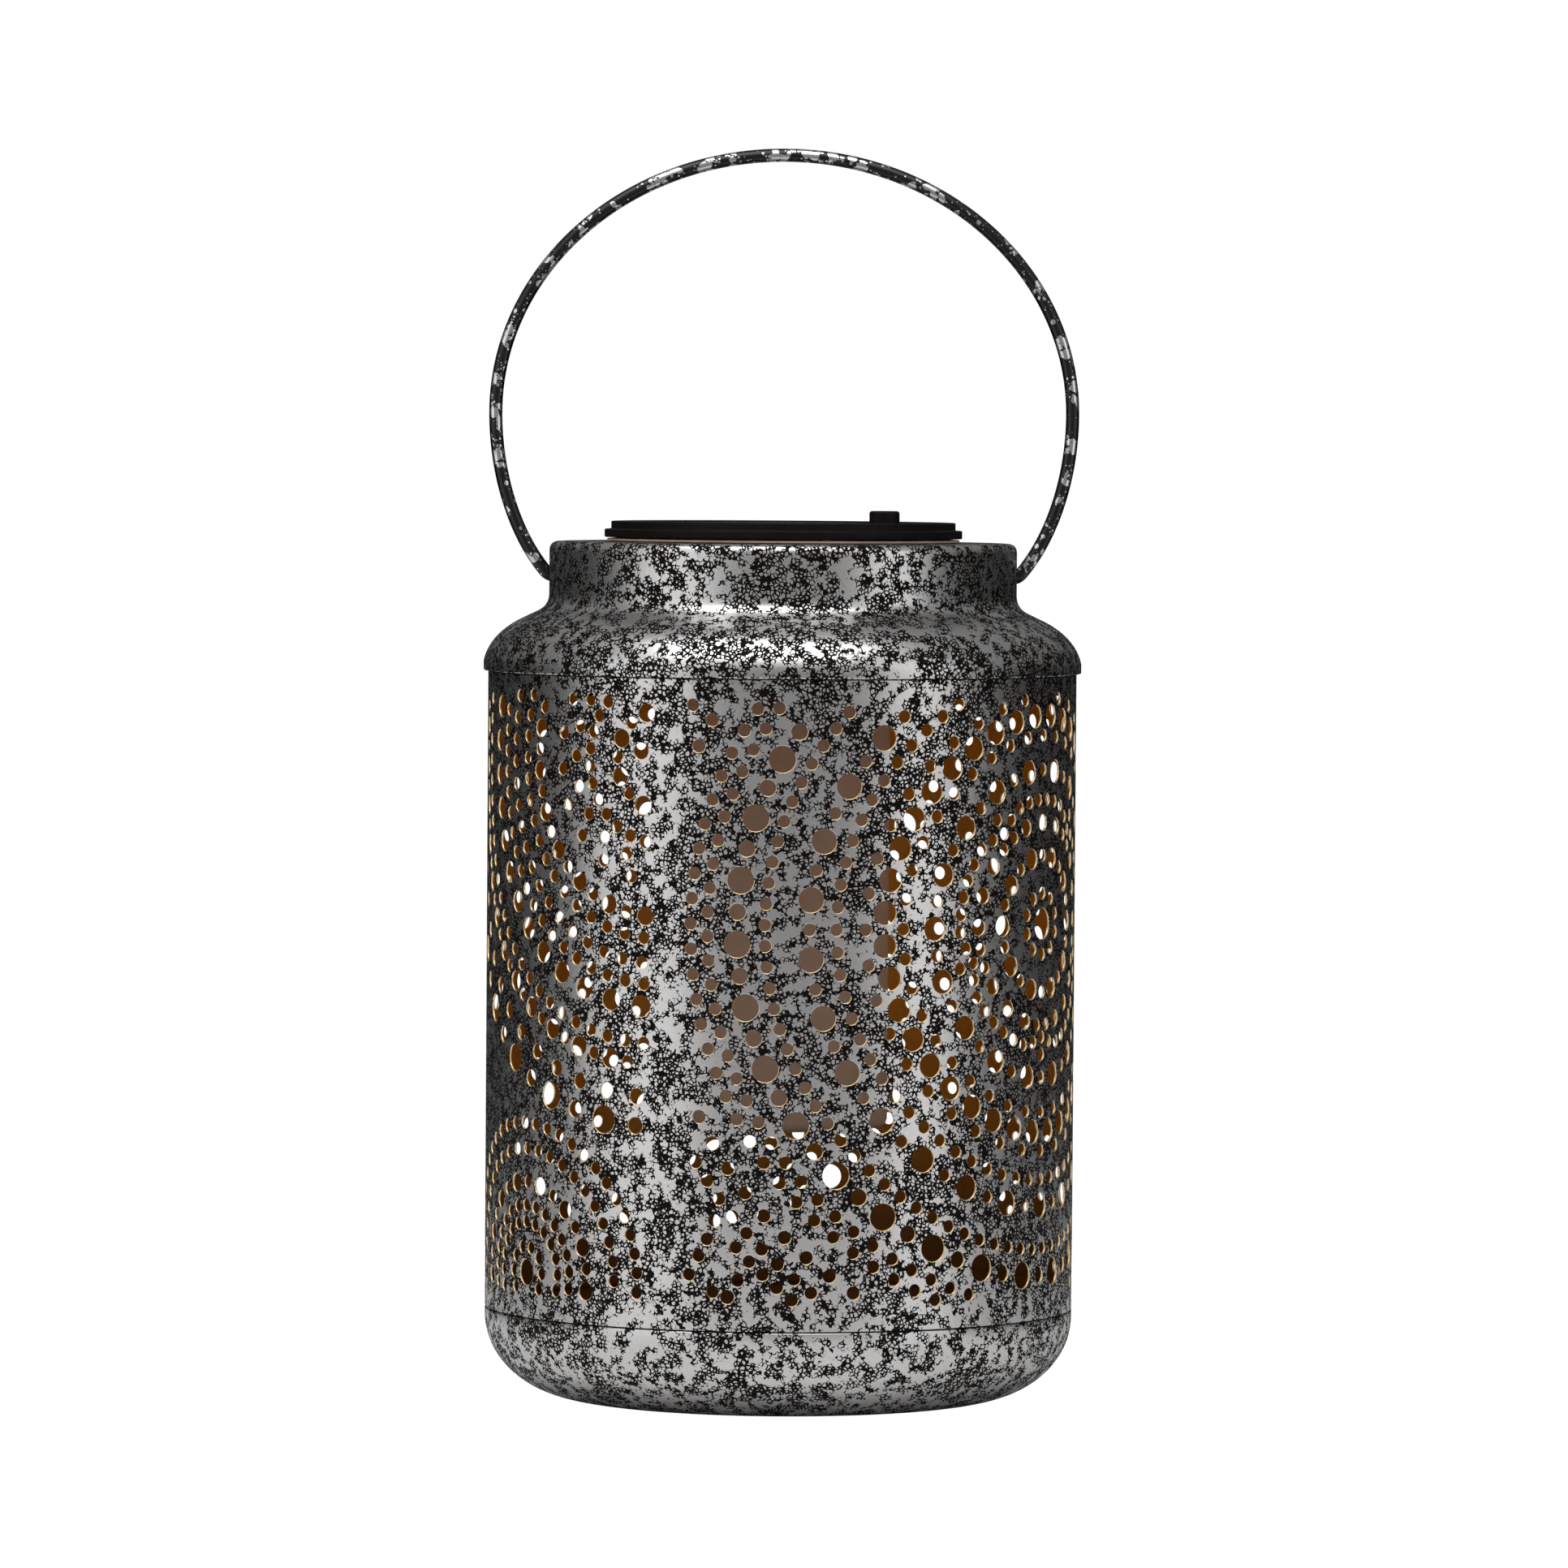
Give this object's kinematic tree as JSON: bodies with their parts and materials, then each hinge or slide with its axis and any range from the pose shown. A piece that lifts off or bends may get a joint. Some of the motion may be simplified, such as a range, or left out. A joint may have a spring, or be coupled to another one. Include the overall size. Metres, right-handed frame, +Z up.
{
  "type": "solar jar lantern",
  "caption": "Jar-shaped perforated steel lantern with a swinging wire bail, a frosted diffuser tube and a lift-out solar lamp head with a push button.",
  "frame": {"origin": "centre of the flat underside of the base, on the surface that the lantern stands on", "axes": "+Z up through the jar to the bail's crown; X along the bail's pivot line; front of the jar towards -Y"},
  "size_m": [0.1524, 0.1524, 0.3184],
  "materials": {
    "mottled_steel": "satin antique silver with a black crackle net",
    "bail_steel": "black with worn silver specks",
    "diffuser_plastic": "frosted, warm white",
    "black_plastic": "fine satin moulded black",
    "panel_resin": "clear resin over the cell",
    "silicon": "dark blue silicon",
    "board_green": "solder mask",
    "component_black": "moulded epoxy",
    "led_resin": "clear warm-tinted resin",
    "cell_wrap": "plain shrink wrap",
    "nickel_steel": "nickel plated",
    "red_lead": "insulation",
    "black_lead": "insulation"
  },
  "bodies": {
    "jar": {"base_pan": "mottled_steel", "perforated_shell": "mottled_steel", "lid_cap": "mottled_steel", "diffuser_tube": "diffuser_plastic"},
    "bail": {"bail_wire": "bail_steel"},
    "solar_head": {"head_cover": "black_plastic", "solar_cell": "silicon", "panel_window": "panel_resin", "head_housing": "black_plastic", "battery_door": "black_plastic", "circuit_board": "board_green", "control_chip": "component_black", "charge_inductor": "component_black", "led_lamp": "led_resin", "switch_body": "component_black", "rechargeable_cell": "cell_wrap", "battery_plate_contact": "nickel_steel", "battery_spring_plate": "nickel_steel", "battery_spring": "nickel_steel", "housing_screw_1": "nickel_steel", "housing_screw_2": "nickel_steel", "housing_screw_3": "nickel_steel", "board_screw_1": "nickel_steel", "board_screw_2": "nickel_steel", "battery_door_screw": "nickel_steel", "battery_lead_plus": "red_lead", "battery_lead_minus": "black_lead", "cell_lead_plus": "red_lead", "cell_lead_minus": "black_lead", "led_leg_plus": "nickel_steel", "led_leg_minus": "nickel_steel"},
    "push_button": {"button_cap": "black_plastic", "switch_plunger": "nickel_steel"}
  },
  "joints": [
    {"name": "bail_swing", "type": "hinge", "parent": "jar", "child": "bail", "pos_m": [0, 0, 0.2095], "axis": [1, 0, 0], "range_deg": [-125, 125]},
    {"name": "solar_head_lift", "type": "slide", "parent": "jar", "child": "solar_head", "axis": [0, 0, 1], "range_m": [0, 0.07]},
    {"name": "button_press", "type": "slide", "parent": "solar_head", "child": "push_button", "axis": [0, 0, -1], "range_m": [0, 0.0015], "stiffness_N_per_m": 250, "springref_m": -0.001}
  ]
}
